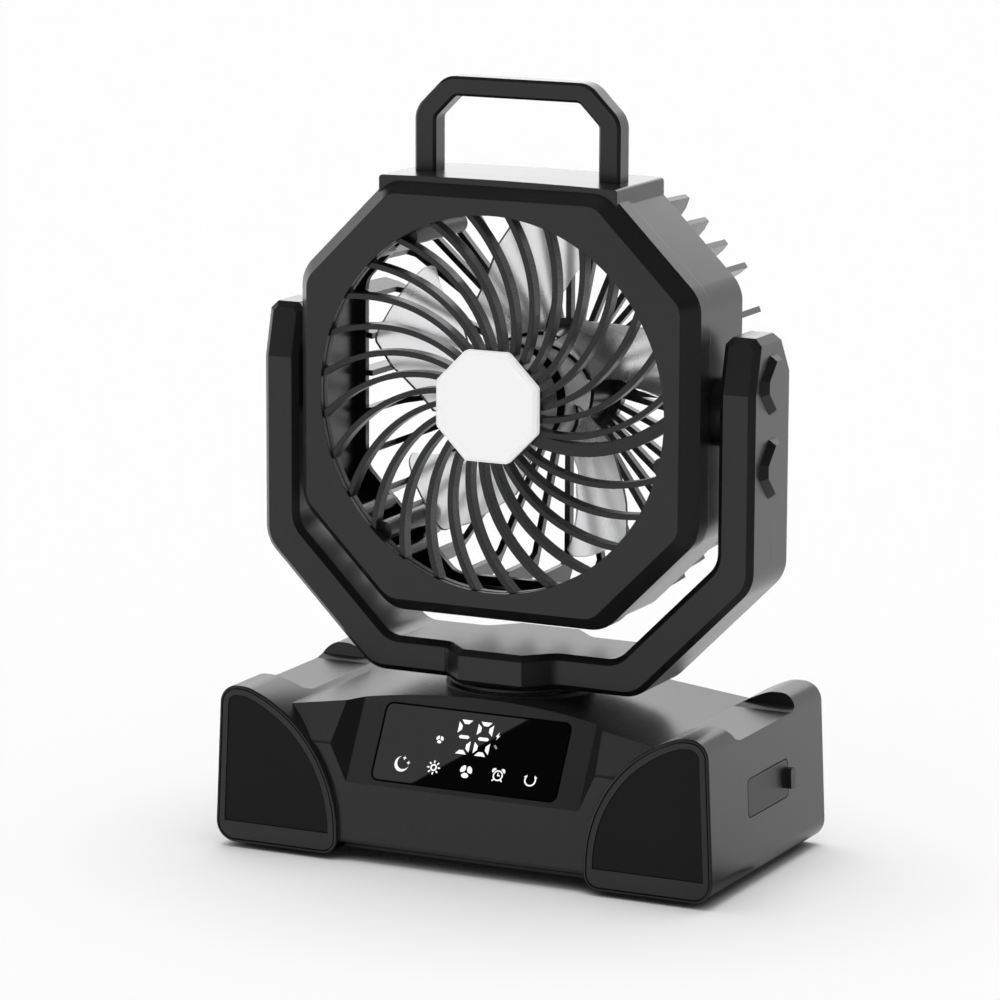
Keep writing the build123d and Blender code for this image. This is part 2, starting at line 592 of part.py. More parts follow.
# Octagonal plugs on the outer faces of the arms
plug_plane = Plane(origin=(arm_outer, PLUG_Y, 0), x_dir=(0, 1, 0), z_dir=(1, 0, 0))
plug_half = PLUG_ACROSS / 2
flat_half = PLUG_FLAT / 2
plug_face = mirrored(
    (flat_half, -plug_half), (plug_half, -flat_half), (plug_half, flat_half), (flat_half, plug_half))
plug = extrude(plug_plane * plug_face, amount=PLUG_PROUD, taper=PLUG_TAPER)
plug += rod_x(5.0, arm_outer - 4.5, arm_outer + 1, PLUG_Y, 0)
for height_name, rise in zip(("upper", "lower"), PLUG_RISE):
    placed_plug = Pos(0, 0, head_z + rise) * plug
    save(f"plug_{height_name}_right", placed_plug)
    save(f"plug_{height_name}_left", mirror_x(placed_plug))

# Tilt pivots
shell_half = HEAD_HALF - SHELL_STEP
tilt_bush = rod_x(8.0, arm_inner, arm_inner + 4.6) - rod_x(TILT_PIN + RUN_FIT, arm_inner - 10, arm_inner + 20)
tilt_hub = rod_x(14.8, shell_half, arm_inner - 0.2) + rod_x(8.0, shell_half - SHELL_WALL, shell_half + 1)
tilt_hub += rod_x(TILT_PIN, shell_half, arm_inner + 8.6)
tilt_nut = rod_x(8.5, arm_inner + 4.9, arm_inner + 8.1) - rod_x(TILT_PIN, arm_inner, arm_inner + 20)
for name, shape in (("tilt_bush", tilt_bush), ("tilt_hub", tilt_hub), ("tilt_nut", tilt_nut)):
    save(f"{name}_right", HEAD * shape)
    save(f"{name}_left", HEAD * mirror_x(shape))

# Crowned pad on top of the head, shared by the bezel and the shell
head_corner = HEAD_HALF + HEAD_FLAT
shell_corner = head_corner - SHELL_STEP * sqrt(2)
pad_half = HANDLE_HALF + 7.6
pad_low = HEAD_HALF - 14.0
pad_edge = HEAD_HALF + CROWN_PAD_EDGE
crown_pad = make_face([
    Line((-pad_half, pad_low), (-pad_half, pad_edge)),
    ThreePointArc((-pad_half, pad_edge), (0, HEAD_HALF + CROWN_PAD_RISE), (pad_half, pad_edge)),
    Line((pad_half, pad_edge), (pad_half, pad_low)),
    Line((pad_half, pad_low), (-pad_half, pad_low)),
])
crown_pad = fillet([nearest(crown_pad, way * pad_half, pad_edge) for way in LEFT_RIGHT], 1.6)

# Head front bezel
opening = HEAD_HALF - OPENING_RIM
chamfer_back = BEZEL_FRONT + BEZEL_EDGE[1]
wall_back = BEZEL_FRONT + BEZEL_WALL
head_octagon = octagon(HEAD_HALF, head_corner, 16.0)
bezel = prism(head_octagon, chamfer_back, BEZEL_BACK)
bezel += prism(head_octagon, BEZEL_FRONT, chamfer_back, taper=degrees(atan(BEZEL_EDGE[0] / BEZEL_EDGE[1])))
bezel += prism(crown_pad, CROWN_PAD_FRONT, BEZEL_BACK)
bezel -= rod_y(opening, BEZEL_FRONT - 5, BEZEL_BACK + 5)
bezel -= prism(octagon(HEAD_HALF - 6.6, head_corner - 10.8, 8.0), wall_back, BEZEL_BACK + 5)
screw_far = (shell_corner / sqrt(2) - SCREW_DEPTH + SCREW_SPREAD) / sqrt(2)
screw_near = screw_far - SCREW_SPREAD * sqrt(2)
head_spots = [(sx * x, sz * z) for x, z in ((screw_far, screw_near), (screw_near, screw_far))
              for sx in LEFT_RIGHT for sz in LEFT_RIGHT]
for spot_x, spot_z in head_spots:
    bezel += rod_y(3.4, wall_back - 1, BEZEL_BACK, spot_x, spot_z)
    bezel -= rod_y(1.3, wall_back + 1, BEZEL_BACK + 5, spot_x, spot_z)
save("front_bezel", HEAD * bezel)


def vane(start, width, root, reach):
    """Curved vane from the hub to the outer ring, seen from the front."""
    turn = radians(VANE_TURN)
    near_side = []
    far_side = []
    for step in range(6):
        radius = root + (reach - root) * step / 5
        angle = radians(start) + turn * (radius - 22.0)
        run = radius * turn
        size = sqrt(1 + run * run)
        along = ((cos(angle) - run * sin(angle)) / size, (sin(angle) + run * cos(angle)) / size)
        spot = (radius * cos(angle), radius * sin(angle))
        near_side.append((spot[0] - along[1] * width / 2, spot[1] + along[0] * width / 2))
        far_side.append((spot[0] + along[1] * width / 2, spot[1] - along[0] * width / 2))
    return make_face([
        Spline(*near_side), Line(near_side[-1], far_side[-1]),
        Spline(*far_side), Line(far_side[0], near_side[0]),
    ])


# Front guard: ring behind the bezel wall, vanes, hub cup and three spacer posts
lamp_back = LAMP_FRONT + LAMP_THICK
hub_radius = LAMP_ACROSS / 2 + 0.6
hub_bore = hub_radius - 3.0
cup_floor = -19.5
guard = rod_y(opening + 6.1, wall_back, wall_back + 3.2) - rod_y(opening - 0.2, wall_back - 5, wall_back + 10)
guard = guard.fuse(rod_y(hub_radius, lamp_back, cup_floor + 2.5) - rod_y(hub_bore, lamp_back - 5, cup_floor))
vanes = [prism(vane(DUCT_START, DUCT_WIDTH, hub_bore, opening + 2.6), VANE_FRONT + 0.6, VANE_BACK)]
for index in range(1, VANE_COUNT):
    start = VANE_START + 360.0 * index / VANE_COUNT
    vanes.append(prism(vane(start, VANE_THICK, hub_bore, opening + 2.6), VANE_FRONT, VANE_BACK))
outside = rod_y(opening + 20, wall_back - 10, wall_back) - rod_y(opening - 0.2, wall_back - 20, wall_back + 1)
hub_inside = rod_y(hub_bore, lamp_back - 5, cup_floor)
guard = guard.fuse(*[one_vane - outside - hub_inside for one_vane in vanes])
post_circle = opening - 0.4
post_spots = [polar(post_circle, post_angle) for post_angle in POST_ANGLES]
guard = guard.fuse(*[rod_y(POST_RADIUS, wall_back + 3.0, FLANGE_FRONT, x, z) for x, z in post_spots])
for spot_x, spot_z in head_spots:
    guard -= rod_y(3.6, BEZEL_FRONT, BEZEL_BACK, spot_x, spot_z)
save("front_guard", HEAD * guard)

# Lamp
lamp_half = LAMP_ACROSS / 2
lamp = prism(octagon(lamp_half, lamp_half * sqrt(2), 2.5), LAMP_FRONT, lamp_back)
lamp = chamfer(lamp.faces().sort_by(Axis.Y)[0].outer_wire().edges(), 1.4)
lamp_skirt = rod_y(hub_bore - 0.2, lamp_back, lamp_back + 2.2)
lamp += lamp_skirt - rod_y(hub_bore - 2.0, lamp_back - 2, lamp_back + 5)
save("lamp_diffuser", HEAD * lamp)
led_front = cup_floor - 5.5
led_board = rod_y(hub_bore - 2.5, led_front, led_front + 1.6) + rod_y(6.0, led_front + 1.6, cup_floor)
for index in range(8):
    led_x, led_z = polar(12.0, 45.0 * index)
    led_board += Pos(led_x, led_front - 0.5, led_z) * Box(3.5, 1.0, 3.5)
save("led_board", HEAD * led_board)

# Head shell
shell_in = octagon(shell_half - SHELL_WALL, shell_corner - SHELL_WALL * sqrt(2), 12.0)
shell = prism(octagon(shell_half, shell_corner, 15.0), BEZEL_BACK, SHELL_BACK)
shell += prism(crown_pad, BEZEL_BACK, SHELL_BACK)
shell -= prism(shell_in, BEZEL_BACK - 5, SHELL_BACK + 5)
web_limit = prism(octagon(shell_half - 1.0, shell_corner - 1.5, 14.0), BEZEL_BACK, FLANGE_FRONT)
web_length = FLANGE_FRONT - BEZEL_BACK
for spot_x, spot_z in head_spots:
    web_middle = (spot_x + 3.0 * spot_x / abs(spot_x), spot_z + 3.0 * spot_z / abs(spot_z))
    web = Pos(web_middle[0], (FLANGE_FRONT + BEZEL_BACK) / 2, web_middle[1]) * Box(7, web_length, 7)
    shell += rod_y(4.4, BEZEL_BACK, FLANGE_FRONT, spot_x, spot_z) + (web & web_limit)
for spot_x, spot_z in head_spots:
    shell -= rod_y(1.6, BEZEL_BACK - 5, SHELL_BACK + 5, spot_x, spot_z)
handle_x = HANDLE_HALF - HANDLE_LEG / 2
for way in LEFT_RIGHT:
    shell -= Pos(way * shell_half, 0, 0) * Rot(0, 90, 0) * Cylinder(8.0, 20.0)
    shell -= rod_z(1.6, HEAD_HALF - 20, HEAD_HALF + 10, way * handle_x, HANDLE_Y)
save("head_shell", HEAD * shell)

# Rear guard: flange in the shell, motor plate, cable duct and bent ribs
plate_front = RIB_BACK - 5.0
flange_face = octagon(shell_half - SHELL_WALL - 0.2, shell_corner - (SHELL_WALL + 0.2) * sqrt(2), 11.8)
flange = prism(flange_face, FLANGE_FRONT, SHELL_BACK)
rear = flange - prism(octagon(shell_half - 7.4, shell_corner - 16.6, 9.0), 0, RIB_BACK + 5)
rear += rod_y(MOTOR_PLATE, plate_front, RIB_BACK) - rod_y(8.0, 0, RIB_BACK + 5)
lug = rod_y(POST_RADIUS, FLANGE_FRONT, SHELL_BACK, post_circle)
lug += block(post_circle, shell_corner, FLANGE_FRONT, SHELL_BACK, -POST_RADIUS, POST_RADIUS)
lugs = [(Rot(0, -post_angle, 0) * lug) & flange for post_angle in POST_ANGLES]


def rib_reach(angle, inset):
    """Distance from the axis to the shell outline, moved in by an inset."""
    across = abs(cos(radians(angle)))
    up = abs(sin(radians(angle)))
    return min((shell_half - inset) / max(across, up), (shell_corner - inset * sqrt(2)) / (across + up))


ribs = []
for quarter in range(4):
    for rib_angle in RIB_ANGLES:
        reach = rib_reach(rib_angle, 1.1)
        inside = rib_reach(rib_angle, 3.5)
        rib = polygon((inside, FLANGE_FRONT + 0.5), (inside, SHELL_BACK + 0.1), (reach, SHELL_BACK + 0.1),
                      (reach - 1.2, RIB_BACK - 4.0), (reach - 7.0, RIB_BACK), (MOTOR_PLATE - 2.0, RIB_BACK),
                      (MOTOR_PLATE - 2.0, RIB_BACK - 4.0), (reach - 13.0, RIB_BACK - 4.0),
                      (reach - 10.0, RIB_BACK - 8.0), (inside - 7.0, FLANGE_FRONT + 0.5))
        rib = extrude(Pos(0, 0, -RIB_THICK / 2) * rib, amount=RIB_THICK)
        ribs.append(Rot(0, -rib_angle - 90 * quarter, 0) * rib)
cable_duct = block(MOTOR_PLATE - 5.0, shell_half - 8.0, RIB_BACK - 4.0, RIB_BACK,
                   -CABLE_DUCT / 2, CABLE_DUCT / 2)
rear = rear.fuse(*ribs, *lugs, cable_duct)
for spot_x, spot_z in head_spots:
    rear -= rod_y(1.6, 0, RIB_BACK + 5, spot_x, spot_z)
    rear -= rod_y(3.3, SHELL_BACK, SHELL_BACK + 3.0, spot_x, spot_z)
save("rear_guard", HEAD * rear)

# Motor, shaft and rotor
fan_motor = rod_y(MOTOR_RADIUS, MOTOR_FRONT, plate_front)
fan_motor = chamfer(fan_motor.edges().sort_by(Axis.Y)[0], 2.0)
fan_motor += rod_y(7.9, plate_front - 1.0, RIB_BACK - 1.0)
fan_motor -= rod_y(SHAFT_RADIUS + RUN_FIT, 0, RIB_BACK - 2.0)
save("fan_motor", HEAD * fan_motor)
save("motor_shaft", HEAD * rod_y(SHAFT_RADIUS, ROTOR_FRONT - 5.5, RIB_BACK - 2.5))
hub = rod_y(ROTOR_HUB, ROTOR_FRONT, ROTOR_BACK)
hub = fillet(hub.edges().sort_by(Axis.Y)[0], 4.0)
hub -= rod_y(ROTOR_HUB - 2.5, ROTOR_FRONT + 5.0, ROTOR_BACK + 10)
hub += rod_y(6.0, ROTOR_FRONT, ROTOR_BACK - 1.5)
hub -= rod_y(SHAFT_RADIUS, ROTOR_FRONT - 10, ROTOR_BACK + 10)


def blade_section(radius, angle, chord, pitch):
    """Cambered slice of a blade, standing across the blade at one radius."""
    across = radians(angle)
    plane = Plane(origin=(radius * cos(across), BLADE_Y, radius * sin(across)),
                  x_dir=(sin(across), 0, -cos(across)), z_dir=(cos(across), 0, sin(across)))
    rise = 0.08 * chord
    face = make_face([
        ThreePointArc((-chord / 2, 0), (0, rise), (chord / 2, 0)),
        Line((chord / 2, 0), (chord / 2, 1.6)),
        ThreePointArc((chord / 2, 1.6), (0, rise + 1.6), (-chord / 2, 1.6)),
        Line((-chord / 2, 1.6), (-chord / 2, 0)),
    ])
    return plane * Rot(0, 0, pitch) * face


blade_tip = opening - BLADE_GAP
blade = loft([
    blade_section(ROTOR_HUB - 5.0, 20.0, 44.0, 38.0), blade_section(blade_tip - 28.7, 0.0, 54.0, 30.0),
    blade_section(blade_tip + 3.3, -21.0, 66.0, 24.0)])
petal = polygon(polar(20, 47), polar(blade_tip - 31.7, 23), polar(blade_tip - 10.7, 3), polar(blade_tip, -5),
                polar(blade_tip + 2, -20), polar(blade_tip - 1, -36), polar(blade_tip - 16.7, -32),
                polar(blade_tip - 36.7, -17), polar(20, -11))
petal_corners = (polar(blade_tip - 10.7, 3), polar(blade_tip, -5), polar(blade_tip - 1, -36))
petal = fillet([nearest(petal, *corner) for corner in petal_corners], 5.0)
blade = blade & prism(petal, -20, 40) & rod_y(blade_tip, -20, 40)
blade -= rod_y(ROTOR_HUB - 1.0, -40, 60)
blades = [Rot(0, -(BLADE_PHASE + 360.0 * index / BLADE_COUNT), 0) * blade for index in range(BLADE_COUNT)]
save("impeller", HEAD * hub.fuse(*blades))
nut = prism(RegularPolygon(4.6, 6), ROTOR_FRONT - 4.0, ROTOR_FRONT)
save("impeller_nut", HEAD * (nut - rod_y(SHAFT_RADIUS, ROTOR_FRONT - 10, ROTOR_FRONT + 10)))

# Carry handle, seated on the crowned pad
handle_top = HEAD_HALF + HANDLE_RISE
leg_in = HANDLE_HALF - HANDLE_LEG
bar_low = handle_top - HANDLE_BAR
corner_in = HANDLE_CORNER - (HANDLE_LEG + HANDLE_BAR) / 2 * (2 - sqrt(2))
leg_foot = HEAD_HALF - 4.0
handle_face = mirrored(
    (leg_in - corner_in, bar_low), (leg_in, bar_low - corner_in), (leg_in, leg_foot), (HANDLE_HALF, leg_foot),
    (HANDLE_HALF, handle_top - HANDLE_CORNER), (HANDLE_HALF - HANDLE_CORNER, handle_top))
for way in LEFT_RIGHT:
    handle_face = fillet(nearest(handle_face, way * HANDLE_HALF, handle_top - HANDLE_CORNER), HANDLE_ROUND)
    handle_face = fillet(nearest(handle_face, way * (HANDLE_HALF - HANDLE_CORNER), handle_top), HANDLE_ROUND)
    handle_face = fillet(nearest(handle_face, way * leg_in, bar_low - corner_in), 3.0)
    handle_face = fillet(nearest(handle_face, way * (leg_in - corner_in), bar_low), 3.0)
handle = prism(handle_face, HANDLE_Y - HANDLE_DEPTH / 2, HANDLE_Y + HANDLE_DEPTH / 2)
for end_of_bar in (0, -1):
    rim = handle.faces().sort_by(Axis.Y)[end_of_bar].outer_wire().edges()
    handle = chamfer(rim, HANDLE_EDGE)
handle -= prism(crown_pad, -40, 40)
for way in LEFT_RIGHT:
    handle -= rod_z(1.4, HEAD_HALF - 10, HEAD_HALF + 12, way * handle_x, HANDLE_Y)
save("handle", HEAD * handle)
handle_screws = [HEAD * screw_up(way * handle_x, HANDLE_Y, shell_half - SHELL_WALL - 2.1, HEAD_HALF + 11)
                 for way in LEFT_RIGHT]
save("handle_screws", Compound(handle_screws))
head_screws = [rod_y(3.0, SHELL_BACK, SHELL_BACK + 2, x, z) + rod_y(1.3, wall_back + 2, SHELL_BACK + 1, x, z)
               for x, z in head_spots]
save("head_screws", Compound([HEAD * screw for screw in head_screws]))
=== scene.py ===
import json
import math

import bmesh
import bpy
from mathutils import Matrix, Vector


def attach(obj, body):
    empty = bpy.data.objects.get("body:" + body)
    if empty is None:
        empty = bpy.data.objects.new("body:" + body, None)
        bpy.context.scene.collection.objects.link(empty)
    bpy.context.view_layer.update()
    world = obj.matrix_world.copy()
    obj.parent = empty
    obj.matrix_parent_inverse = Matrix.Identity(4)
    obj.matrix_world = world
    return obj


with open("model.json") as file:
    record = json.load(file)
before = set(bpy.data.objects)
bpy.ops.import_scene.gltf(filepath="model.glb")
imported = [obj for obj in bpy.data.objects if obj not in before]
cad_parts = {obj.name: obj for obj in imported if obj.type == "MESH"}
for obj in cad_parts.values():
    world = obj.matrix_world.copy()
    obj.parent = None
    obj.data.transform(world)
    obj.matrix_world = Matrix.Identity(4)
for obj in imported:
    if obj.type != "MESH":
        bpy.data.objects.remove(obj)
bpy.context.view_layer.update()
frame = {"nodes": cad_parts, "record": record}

MM = 0.001

# Camera of the photograph: angles in degrees, places in metres, lens and sensor in millimetres
VIEW_AZIMUTH = 26.184
VIEW_ELEVATION = 11.109
VIEW_ROLL = 0.226
VIEW_DISTANCE = 2.1642
VIEW_SHIFT = (-0.007934, 0.153427)
VIEW_CENTRE = Vector((0.0, -0.003, 0.0))
VIEW_LENS = 175.57
VIEW_SENSOR = 36.0
VIEW_CLIP = (0.1, 100.0)

# Display plane: foot of the slope, direction up the slope, and outward normal
DISPLAY_FOOT = Vector((0.0, -59.2, 36.6)) * MM
DISPLAY_UP = Vector((0.0, 0.4723, 0.8814))
DISPLAY_OUT = Vector((0.0, -DISPLAY_UP.z, DISPLAY_UP.y))
INK_LIFT = 0.02
INK_THICK = 0.06

# Places of the display marks, across and up the display, and their sizes, in millimetres
MOON = (-31.35, 10.04)
SUN = (-15.84, 10.17)
FAN = (-0.2, 10.21)
FAN_SIZE = 2.95
CLOCK = (15.23, 10.11)
SWING = (30.79, 9.92)
SMALL_FAN = (-15.85, 22.91)
SMALL_FAN_SIZE = 1.8
BOLT = (11.28, 27.38)
TICK = (11.25, 22.49)
TICK_REACH = (0.45, 0.5)
TICK_WIDTH = 0.9
FIGURE_LOW = 17.6
FIGURE_TALL = 15.35
FIRST_FIGURE = (-8.25, 7.25)
SECOND_FIGURE = (1.0, 7.4)
FIGURE_STROKE = 1.8
FIGURE_GAP = 1.0
FIGURE_MIDDLE_GAP = 1.6
SCREEN_CORNER = 3.5
# Width and inset of the painted shade band along the screen's edge
SCREEN_SHADE_WIDTH = 0.6
SCREEN_SHADE_GAP = 0.02

# Finish, with painted shade on the blade edges: lengths in metres, and tilts as the share of a face's
# normal along Y
EDGE_ROUNDING = 0.0004
TINT_SCALE = 28.0
TINT_STOPS = (0.3, 0.7)
GRAIN_STRENGTH = 0.35
ROTOR_HUB_EDGE = 0.0255
ROTOR_AXIS = next(joint["pos_m"] for joint in frame["record"]["behaviour"]["joints"]
                  if joint["name"] == "fan_spin")
HUB_FRONT_TILT = -0.6
HUB_SILVER = (0.85, 0.85, 0.86, 1)
HUB_BLACK = (0.008, 0.008, 0.008, 1)
# Blade cut edges get painted shade: a dark colour standing for clear edges seen edge-on
BLADE_EDGE_TILT = 0.3
BLADE_EDGE_PAINTED_SHADE = (0.05, 0.05, 0.05, 1)
BLADE_MILKY = (0.88, 0.88, 0.89, 1)
BLADE_CLEARNESS = 0.85
BLADE_INDEX = 1.3
LAMP_GLOW = 0.43

# Studio: lengths in metres, and shades as pairs of place and level
FLOOR_SIZE = 60.0
FLOOR_COLOUR = 0.86
FLOOR_LIFT = 0.135
CONTACT_REACH = 0.04
CONTACT_SHADE = ((0.12, 0.03), (0.40, 1.0))
MIRROR_SHADE = ((0.30, 0.0), (0.80, 1.0))
MIRROR_NEAR = ((0.15, 0.78), (0.33, 0.88), (0.70, 1.0))
SKY_FILL = 0.24
SUN_STRENGTH = 2.38
SUN_SPREAD = 56.0
SUN_FROM = Vector((-0.05, 0.12, 1.0))
STUDIO_PEAK = 1.25
STUDIO_CENTRE = Vector((0.12, 0.0, 0.0))
# The compass turns from -X at 0 through the front at 0.25, +X at 0.5 and the back at 0.75
STUDIO_COMPASS = ((0.0, 0.80), (0.10, 0.68), (0.20, 0.64), (0.28, 0.36), (0.36, 0.16), (0.46, 0.14),
                  (0.54, 0.40), (0.62, 0.88), (0.72, 0.96), (0.82, 1.0), (0.90, 0.84), (1.0, 0.80))
SKY_TOP = ((0.08, 1.0), (0.34, 0.03))
SKY_BACK_RISE = 0.3
SKY_BACK_SLOPE = 1.5
BACK_CARD = ((-0.60, 0.18), 0.62, (0.30, 0.75))
BACK_CARD_STRENGTH = 2.4
SCREEN_CARD_EDGE = ((23.41, 36.38), (-24.82, 1.98))
SCREEN_CARD_SIDE = (-40.0, 36.0)
SCREEN_CARD_STRENGTH = 0.85
SCREEN_CARD_REACH = 3.0
SCREEN_CARD_WIDTH = 0.9
SCREEN_CARD_SPARE = 0.8


# Shader nodes

def node(tree, kind, **values):
    """New node with the given inputs or settings."""
    made = tree.nodes.new(kind)
    for key, value in values.items():
        if key in made.inputs:
            made.inputs[key].default_value = value
        else:
            setattr(made, key, value)
    return made


def feed(tree, entry, value):
    """Give a node's input a link from another node, or a plain value."""
    if isinstance(value, bpy.types.NodeSocket):
        tree.links.new(value, entry)
    else:
        entry.default_value = value


def math_node(tree, operation, *values):
    """Math node whose inputs are sockets or plain numbers."""
    made = node(tree, "ShaderNodeMath", operation=operation)
    for entry, value in zip(made.inputs, values):
        feed(tree, entry, value)
    return made.outputs[0]


def ramp_node(tree, socket, stops):
    """Grey ramp through the given (place, level) stops."""
    made = node(tree, "ShaderNodeValToRGB")
    elements = made.color_ramp.elements
    while len(elements) < len(stops):
        elements.new(0.5)
    for element, (place, level) in zip(elements, stops):
        element.position = place
        element.color = (level, level, level, 1)
    tree.links.new(socket, made.inputs["Fac"])
    return made.outputs["Color"]


def mixed(tree, factor, first, second, blend="MIX"):
    """Mix of two colours, each a socket or a plain colour."""
    made = node(tree, "ShaderNodeMix", data_type="RGBA", blend_type=blend)
    feed(tree, made.inputs["Factor"], factor)
    feed(tree, made.inputs["A"], first)
    feed(tree, made.inputs["B"], second)
    return made.outputs["Result"]


def choose(tree, choice, first, second):
    """The first shader where the choice is 0, and the second where it is 1."""
    made = node(tree, "ShaderNodeMixShader")
    for entry, socket in zip(made.inputs, (choice, first, second)):
        tree.links.new(socket, entry)
    return made.outputs[0]


def bare_material(name):
    """Material with nothing but its output."""
    made = bpy.data.materials.new(name)
    made.use_nodes = True
    tree = made.node_tree
    tree.nodes.clear()
    out = node(tree, "ShaderNodeOutputMaterial")
    return made, tree, out.inputs["Surface"]


def new_material(name):
    """Material with one surface shader."""
    made, tree, surface = bare_material(name)
    shader = node(tree, "ShaderNodeBsdfPrincipled")
    tree.links.new(shader.outputs["BSDF"], surface)
    return made, tree, shader


# Materials

def varied_gloss(tree, shader, place, scale, low, high):
    """Roughness that wanders between two values."""
    cloud = node(tree, "ShaderNodeTexNoise", Scale=scale, Detail=2.0)
    tree.links.new(place.outputs["Object"], cloud.inputs["Vector"])
    gloss = node(tree, "ShaderNodeMapRange")
    gloss.inputs["To Min"].default_value = low
    gloss.inputs["To Max"].default_value = high
    tree.links.new(cloud.outputs["Fac"], gloss.inputs["Value"])
    tree.links.new(gloss.outputs["Result"], shader.inputs["Roughness"])
    return cloud


def moulded(name, colour, vary, rough, rough_vary, grain, grain_depth, specular=0.5):
    """Moulded plastic: fine spark-erosion grain, slow colour and gloss variation, soft edges."""
    made, tree, shader = new_material(name)
    link = tree.links.new
    place = node(tree, "ShaderNodeTexCoord")
    slow = node(tree, "ShaderNodeTexNoise", Scale=TINT_SCALE, Detail=3.0, Roughness=0.55)
    link(place.outputs["Object"], slow.inputs["Vector"])
    tint = node(tree, "ShaderNodeValToRGB")
    for element, stop, level in zip(tint.color_ramp.elements, TINT_STOPS, (1 - vary, 1 + vary)):
        element.position = stop
        element.color = (*[c * level for c in colour], 1)
    link(slow.outputs["Fac"], tint.inputs["Fac"])
    link(tint.outputs["Color"], shader.inputs["Base Color"])
    fine = varied_gloss(tree, shader, place, grain, rough - rough_vary, rough + rough_vary)
    rounding = node(tree, "ShaderNodeBevel", samples=4, Radius=EDGE_ROUNDING)
    bump = node(tree, "ShaderNodeBump", Strength=GRAIN_STRENGTH, Distance=grain_depth)
    link(rounding.outputs["Normal"], bump.inputs["Normal"])
    link(fine.outputs["Fac"], bump.inputs["Height"])
    link(bump.outputs["Normal"], shader.inputs["Normal"])
    shader.inputs["Specular IOR Level"].default_value = specular
    return made


def polished(name, colour, rough):
    """Polished plastic with a faint waviness."""
    made, tree, shader = new_material(name)
    place = node(tree, "ShaderNodeTexCoord")
    varied_gloss(tree, shader, place, 55.0, rough * 0.7, rough * 1.3)
    shader.inputs["Base Color"].default_value = (*colour, 1)
    return made


def metal(name, colour, rough, grain):
    """Plain metal with uneven gloss."""
    made, tree, shader = new_material(name)
    place = node(tree, "ShaderNodeTexCoord")
    varied_gloss(tree, shader, place, grain, rough * 0.7, rough * 1.4)
    shader.inputs["Base Color"].default_value = (*colour, 1)
    shader.inputs["Metallic"].default_value = 1.0
    return made


def rotor_look():
    """Milky clear blades whose cut edges are painted dark as shade for clear edges seen edge-on, about a
    silver hub with a black front.
    """
    made, tree, shader = new_material("rotor_clear")
    link = tree.links.new
    place = node(tree, "ShaderNodeTexCoord")
    varied_gloss(tree, shader, place, 22.0, 0.24, 0.32)
    spot = node(tree, "ShaderNodeSeparateXYZ")
    link(place.outputs["Object"], spot.inputs[0])
    across = math_node(tree, "SUBTRACT", spot.outputs["X"], ROTOR_AXIS[0])
    upward = math_node(tree, "SUBTRACT", spot.outputs["Z"], ROTOR_AXIS[2])
    squares = math_node(tree, "ADD", math_node(tree, "MULTIPLY", across, across),
                        math_node(tree, "MULTIPLY", upward, upward))
    on_blade = math_node(tree, "GREATER_THAN", math_node(tree, "SQRT", squares), ROTOR_HUB_EDGE)
    facing = node(tree, "ShaderNodeSeparateXYZ")
    link(place.outputs["Normal"], facing.inputs[0])
    tilt = math_node(tree, "ABSOLUTE", facing.outputs["Y"])
    # Painted shade on the blades' cut edges
    painted_edge_shade = math_node(tree, "MULTIPLY", on_blade, math_node(tree, "LESS_THAN", tilt, BLADE_EDGE_TILT))
    on_face = math_node(tree, "SUBTRACT", on_blade, painted_edge_shade)
    forward = math_node(tree, "LESS_THAN", facing.outputs["Y"], HUB_FRONT_TILT)
    hub = mixed(tree, forward, HUB_SILVER, HUB_BLACK)
    plain = mixed(tree, on_blade, hub, BLADE_MILKY)
    link(mixed(tree, painted_edge_shade, plain, BLADE_EDGE_PAINTED_SHADE), shader.inputs["Base Color"])
    link(math_node(tree, "MULTIPLY", on_face, BLADE_CLEARNESS), shader.inputs["Transmission Weight"])
    shader.inputs["IOR"].default_value = BLADE_INDEX
    return made


def frosted():
    """Frosted white lamp cover, faintly lit."""
    made, tree, shader = new_material("diffuser_white")
    place = node(tree, "ShaderNodeTexCoord")
    varied_gloss(tree, shader, place, 1800.0, 0.35, 0.55)
    rounding = node(tree, "ShaderNodeBevel", samples=4, Radius=EDGE_ROUNDING)
    tree.links.new(rounding.outputs["Normal"], shader.inputs["Normal"])
    shader.inputs["Base Color"].default_value = (0.80, 0.80, 0.80, 1)
    shader.inputs["Emission Color"].default_value = (1, 1, 1, 1)
    shader.inputs["Emission Strength"].default_value = LAMP_GLOW
    return made


def glowing(name, colour, strength):
    """Lit display ink with a soft unevenness."""
    made, tree, shader = new_material(name)
    place = node(tree, "ShaderNodeTexCoord")
    varied_gloss(tree, shader, place, 900.0, 0.35, 0.45)
    shader.inputs["Base Color"].default_value = (*[c * 0.6 for c in colour], 1)
    shader.inputs["Emission Color"].default_value = (*colour, 1)
    shader.inputs["Emission Strength"].default_value = strength
    return made


# Moulded looks: colour and its variation, roughness and its variation, grain and its depth, specular level
HOUSING = ((0.015, 0.015, 0.016), 0.06, 0.26, 0.03, 2600.0, 0.00002)
CHARCOAL = moulded("charcoal_grain", *HOUSING)
TRIM = moulded("charcoal_trim", *HOUSING)
PAD = moulded("pad_black", (0.0068, 0.0068, 0.0072), 0.10, 0.55, 0.06, 1500.0, 0.00005, 0.25)
GUARD = moulded("guard_black", (0.013, 0.013, 0.014), 0.06, 0.28, 0.03, 2600.0, 0.00002)
FLAP = moulded("flap_satin", (0.014, 0.014, 0.015), 0.06, 0.42, 0.04, 2200.0, 0.00003)
RUBBER = moulded("foot_rubber", (0.012, 0.012, 0.012), 0.12, 0.75, 0.08, 900.0, 0.00010, 0.3)
ACETAL = moulded("acetal_natural", (0.75, 0.74, 0.70), 0.03, 0.35, 0.05, 1200.0, 0.00003)
BOARD = moulded("solder_mask", (0.02, 0.16, 0.07), 0.20, 0.30, 0.10, 700.0, 0.00005)
